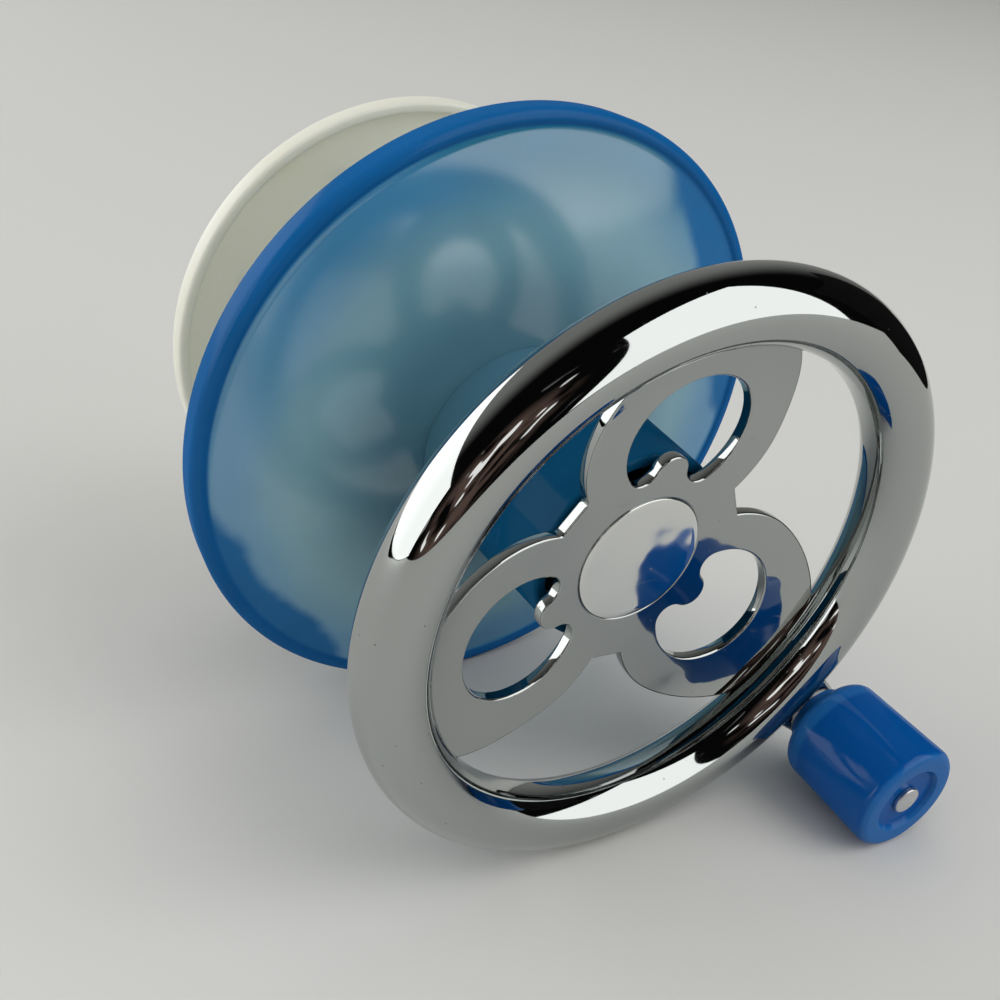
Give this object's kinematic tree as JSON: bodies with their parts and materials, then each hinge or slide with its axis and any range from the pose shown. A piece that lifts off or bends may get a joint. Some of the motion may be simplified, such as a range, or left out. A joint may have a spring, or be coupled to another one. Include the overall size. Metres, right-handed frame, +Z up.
{
  "type": "ice shaver crank head",
  "caption": "Crank head of a hand ice shaver: domed lid with a tall neck, plated hand wheel with a turning knob, and a sprung ice pusher with spikes.",
  "frame": {"origin": "on the crank axis, at the middle of the seat where the lid meets the hopper", "axes": "+Z up from the table that the head lies on; the crank axis runs from the wheel towards +Y and rises about 4.7 degrees; the wheel's front faces -Y"},
  "size_m": [0.1406, 0.156, 0.1402],
  "materials": {
    "blue_plastic": "translucent, gloss",
    "chrome": "mirror plating",
    "satin_plate": "satin",
    "cream_plastic": "moulded, soft sheen",
    "white_plastic": "moulded, low friction",
    "steel": "bright"
  },
  "bodies": {
    "lid_body": {"lid": "blue_plastic", "neck": "blue_plastic", "neck_screws": "steel", "upper_bush": "white_plastic", "lower_bush": "white_plastic"},
    "crank": {"handwheel": "chrome", "hub_cap": "satin_plate", "hub_screw": "steel", "hub_washer": "steel", "drive_tube": "white_plastic", "thrust_washer": "steel", "lower_washer": "steel", "end_nut": "white_plastic", "spring_guide": "white_plastic", "push_spring": "steel", "knob_pin": "steel", "knob_washer": "steel"},
    "pusher": {"pusher_stem": "cream_plastic", "pusher_disc": "cream_plastic", "pusher_screws": "steel", "pusher_spikes": "steel"},
    "knob_grip": {"knob": "blue_plastic"}
  },
  "joints": [
    {"name": "crank_spin", "type": "hinge", "parent": "lid_body", "child": "crank", "pos_m": [0, 0, 0], "axis": [0, -0.9966, -0.0825], "continuous": true},
    {"name": "pusher_slide", "type": "slide", "parent": "crank", "child": "pusher", "axis": [0, -0.9966, -0.0825], "range_m": [0, 0.029], "stiffness_N_per_m": 120, "springref_m": -0.03, "deforming": ["push_spring"]},
    {"name": "knob_spin", "type": "hinge", "parent": "crank", "child": "knob_grip", "pos_m": [0.05308, -0.06509, -0.05494], "axis": [0, -0.9966, -0.0825], "continuous": true}
  ]
}
